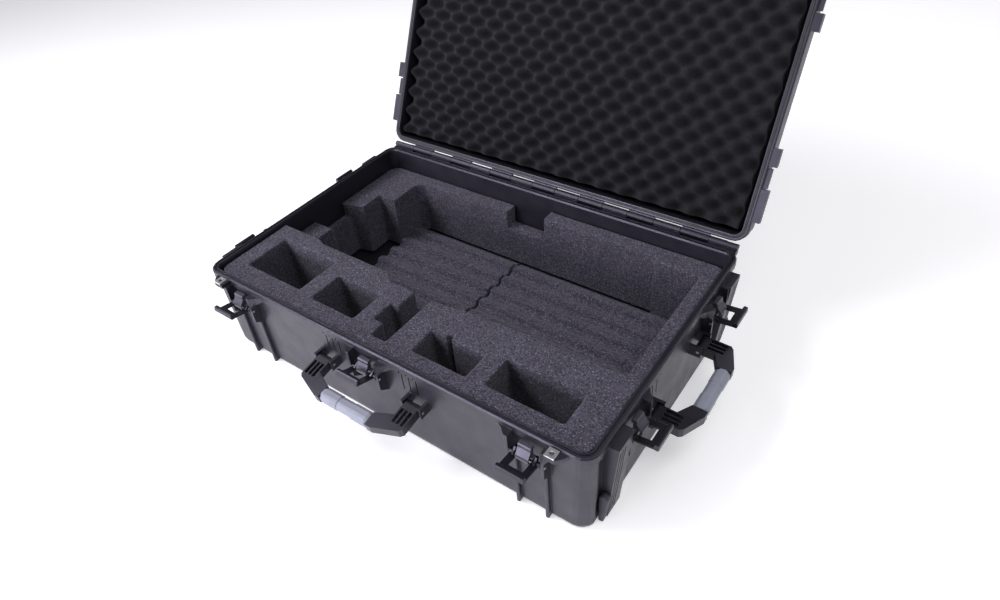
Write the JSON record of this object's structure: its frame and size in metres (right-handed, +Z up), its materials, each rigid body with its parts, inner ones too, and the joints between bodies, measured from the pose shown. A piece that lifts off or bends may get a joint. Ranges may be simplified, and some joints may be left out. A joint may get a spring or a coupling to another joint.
{
  "type": "drone carrying case",
  "caption": "Hard rectangular carrying case, open, with cut foam inserts, egg-crate lid foam, lever draw latches, fold-out grip handles and padlock hasps.",
  "frame": {"origin": "centre of the base's flat underside", "axes": "+X along the front to the case's right end seen from the front, +Y from the front latches towards the lid hinge, +Z up"},
  "size_m": [1.0976, 1.0214, 0.7887],
  "materials": {
    "shell": "matte",
    "lever": "satin",
    "claw": "satin",
    "grip": "matte",
    "steel": "satin",
    "hasp": "satin",
    "gasket": "matte",
    "foam": "matte",
    "lid_foam": "matte",
    "foot": "matte"
  },
  "bodies": {
    "base": {"base_shell": "shell", "foot_block_left_front": "foot", "foot_block_left_rear": "foot", "foot_block_right_front": "foot", "foot_block_right_rear": "foot", "hasp_plate_left": "hasp", "hasp_plate_right": "hasp", "hinge_pin": "steel", "foam_tray_base": "foam", "foam_tray_far_left": "foam", "foam_tray_left": "foam", "foam_tray_right": "foam", "foam_tray_far_right": "foam", "foam_ring_left": "foam", "foam_ring_rear_left": "foam", "foam_ring_rear_mid": "foam", "foam_ring_rear_right": "foam", "foam_ring_right": "foam", "foam_floor_left": "foam", "foam_floor_right": "foam", "latch_pin_front_left": "steel", "latch_pin_front_mid": "steel", "latch_pin_front_right": "steel", "latch_pin_right_front": "steel", "latch_pin_right_rear": "steel", "latch_pin_left_front": "steel", "latch_pin_left_rear": "steel", "handle_pin_front_a": "steel", "handle_pin_front_b": "steel", "handle_pin_right_a": "steel", "handle_pin_right_b": "steel", "handle_pin_left_a": "steel", "handle_pin_left_b": "steel"},
    "lid": {"lid_shell": "shell", "lid_gasket": "gasket", "lid_foam": "lid_foam"},
    "lever_front_left": {"latch_lever_front_left": "lever"},
    "claw_front_left": {"latch_claw_front_left": "claw"},
    "lever_front_mid": {"latch_lever_front_mid": "lever"},
    "claw_front_mid": {"latch_claw_front_mid": "claw"},
    "lever_front_right": {"latch_lever_front_right": "lever"},
    "claw_front_right": {"latch_claw_front_right": "claw"},
    "lever_right_front": {"latch_lever_right_front": "lever"},
    "claw_right_front": {"latch_claw_right_front": "claw"},
    "lever_right_rear": {"latch_lever_right_rear": "lever"},
    "claw_right_rear": {"latch_claw_right_rear": "claw"},
    "lever_left_front": {"latch_lever_left_front": "lever"},
    "claw_left_front": {"latch_claw_left_front": "claw"},
    "lever_left_rear": {"latch_lever_left_rear": "lever"},
    "claw_left_rear": {"latch_claw_left_rear": "claw"},
    "handle_front": {"handle_frame_front": "lever", "handle_grip_front": "grip"},
    "handle_right": {"handle_frame_right": "lever", "handle_grip_right": "grip"},
    "handle_left": {"handle_frame_left": "lever", "handle_grip_left": "grip"}
  },
  "joints": [
    {"name": "lid_hinge", "type": "hinge", "parent": "base", "child": "lid", "pos_m": [0, 0.3125, 0.2115], "axis": [1, 0, 0], "range_deg": [0, 115]},
    {"name": "lever_front_left_hinge", "type": "hinge", "parent": "base", "child": "lever_front_left", "pos_m": [-0.36, -0.3155, 0.16], "axis": [1, 0, 0], "range_deg": [0, 97]},
    {"name": "claw_front_left_hinge", "type": "hinge", "parent": "lever_front_left", "child": "claw_front_left", "pos_m": [-0.36, -0.31069, 0.16818], "axis": [1, 0, 0], "range_deg": [0, 40]},
    {"name": "lever_front_mid_hinge", "type": "hinge", "parent": "base", "child": "lever_front_mid", "pos_m": [0, -0.3155, 0.16], "axis": [1, 0, 0], "range_deg": [0, 107]},
    {"name": "claw_front_mid_hinge", "type": "hinge", "parent": "lever_front_mid", "child": "claw_front_mid", "pos_m": [0, -0.30935, 0.16722], "axis": [1, 0, 0], "range_deg": [0, 40]},
    {"name": "lever_front_right_hinge", "type": "hinge", "parent": "base", "child": "lever_front_right", "pos_m": [0.36, -0.3155, 0.16], "axis": [1, 0, 0], "range_deg": [0, 91]},
    {"name": "claw_front_right_hinge", "type": "hinge", "parent": "lever_front_right", "child": "claw_front_right", "pos_m": [0.36, -0.31158, 0.16864], "axis": [1, 0, 0], "range_deg": [0, 40]},
    {"name": "lever_right_front_hinge", "type": "hinge", "parent": "base", "child": "lever_right_front", "pos_m": [0.4875, -0.166, 0.16], "axis": [0, 1, 0], "range_deg": [0, 90]},
    {"name": "claw_right_front_hinge", "type": "hinge", "parent": "lever_right_front", "child": "claw_right_front", "pos_m": [0.48373, -0.166, 0.1687], "axis": [0, 1, 0], "range_deg": [0, 40]},
    {"name": "lever_right_rear_hinge", "type": "hinge", "parent": "base", "child": "lever_right_rear", "pos_m": [0.4875, 0.166, 0.16], "axis": [0, 1, 0], "range_deg": [0, 90]},
    {"name": "claw_right_rear_hinge", "type": "hinge", "parent": "lever_right_rear", "child": "claw_right_rear", "pos_m": [0.48373, 0.166, 0.1687], "axis": [0, 1, 0], "range_deg": [0, 40]},
    {"name": "lever_left_front_hinge", "type": "hinge", "parent": "base", "child": "lever_left_front", "pos_m": [-0.4875, -0.166, 0.16], "axis": [0, -1, 0], "range_deg": [0, 90]},
    {"name": "claw_left_front_hinge", "type": "hinge", "parent": "lever_left_front", "child": "claw_left_front", "pos_m": [-0.48373, -0.166, 0.1687], "axis": [0, -1, 0], "range_deg": [0, 40]},
    {"name": "lever_left_rear_hinge", "type": "hinge", "parent": "base", "child": "lever_left_rear", "pos_m": [-0.4875, 0.166, 0.16], "axis": [0, -1, 0], "range_deg": [0, 90]},
    {"name": "claw_left_rear_hinge", "type": "hinge", "parent": "lever_left_rear", "child": "claw_left_rear", "pos_m": [-0.48373, 0.166, 0.1687], "axis": [0, -1, 0], "range_deg": [0, 40]},
    {"name": "handle_front_hinge", "type": "hinge", "parent": "base", "child": "handle_front", "pos_m": [0, -0.316, 0.128], "axis": [1, 0, 0], "range_deg": [-14, 76]},
    {"name": "handle_right_hinge", "type": "hinge", "parent": "base", "child": "handle_right", "pos_m": [0.488, 0, 0.128], "axis": [0, 1, 0], "range_deg": [-6, 84]},
    {"name": "handle_left_hinge", "type": "hinge", "parent": "base", "child": "handle_left", "pos_m": [-0.488, 0, 0.128], "axis": [0, -1, 0], "range_deg": [-88, 2]}
  ]
}
